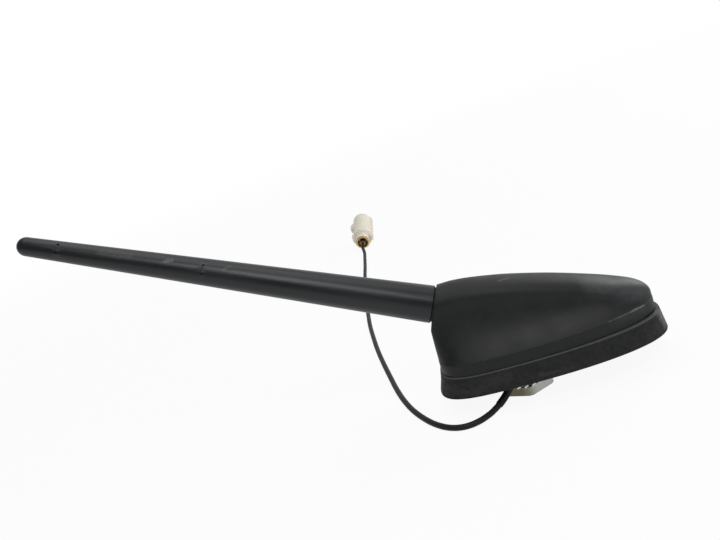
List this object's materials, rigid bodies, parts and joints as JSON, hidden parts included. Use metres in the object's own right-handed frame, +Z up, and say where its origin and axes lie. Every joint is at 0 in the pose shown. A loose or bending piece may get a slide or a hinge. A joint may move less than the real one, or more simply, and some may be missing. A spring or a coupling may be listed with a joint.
{
  "type": "car antenna",
  "caption": "Car roof antenna: a raked tapering mast on a moulded streamlined base with a rubber gasket, a fixing nut below, and a short coaxial lead with a plug.",
  "frame": {"origin": "on the stud's axis in the plane where the gasket's sole meets the roof", "axes": "+X forwards to the nose of the base, +Z up away from the roof, +Y to the car's left; the mast leans to -X"},
  "size_m": [0.2389, 0.3613, 0.1203],
  "materials": {
    "cover_plastic": "fine grain, matt",
    "gasket_rubber": "dull, a little dusty",
    "plate_casting": "as cast",
    "stud_zinc": "zinc plated",
    "nut_zinc": "zinc plated, slightly dulled",
    "washer_zinc": "bright zinc",
    "screw_steel": "plated",
    "board_laminate": "green solder resist",
    "shield_tin": "tinned",
    "spring_bronze": "bare",
    "fitting_brass": "turned",
    "ring_rubber": "matt",
    "core_fibre": "glass fibre rod",
    "winding_copper": "lacquered wire",
    "mast_sheath": "satin",
    "lead_jacket": "smooth, slightly glossy",
    "boot_rubber": "matt",
    "plug_plastic": "natural ivory",
    "plug_brass": "gilt",
    "plug_dielectric": "white"
  },
  "bodies": {
    "root": {"cover": "cover_plastic", "gasket": "gasket_rubber", "base_plate": "plate_casting", "mounting_stud": "stud_zinc", "nut": "nut_zinc", "lock_washer": "washer_zinc", "cover_screws": "screw_steel", "circuit_board": "board_laminate", "shield_can": "shield_tin", "board_screws": "screw_steel", "contact_spring": "spring_bronze", "mast_socket": "fitting_brass", "joint_ring": "ring_rubber", "mast_ferrule": "fitting_brass", "mast_core": "core_fibre", "mast_winding": "winding_copper", "mast_sheath": "mast_sheath", "lead_boot": "boot_rubber", "lead_tail": "lead_jacket", "lead_sleeve": "boot_rubber", "lead": "lead_jacket", "plug_housing": "plug_plastic", "plug_barrel": "plug_brass", "plug_insulator": "plug_dielectric", "plug_pin": "plug_brass", "plug_crimp": "plug_brass"}
  },
  "joints": []
}
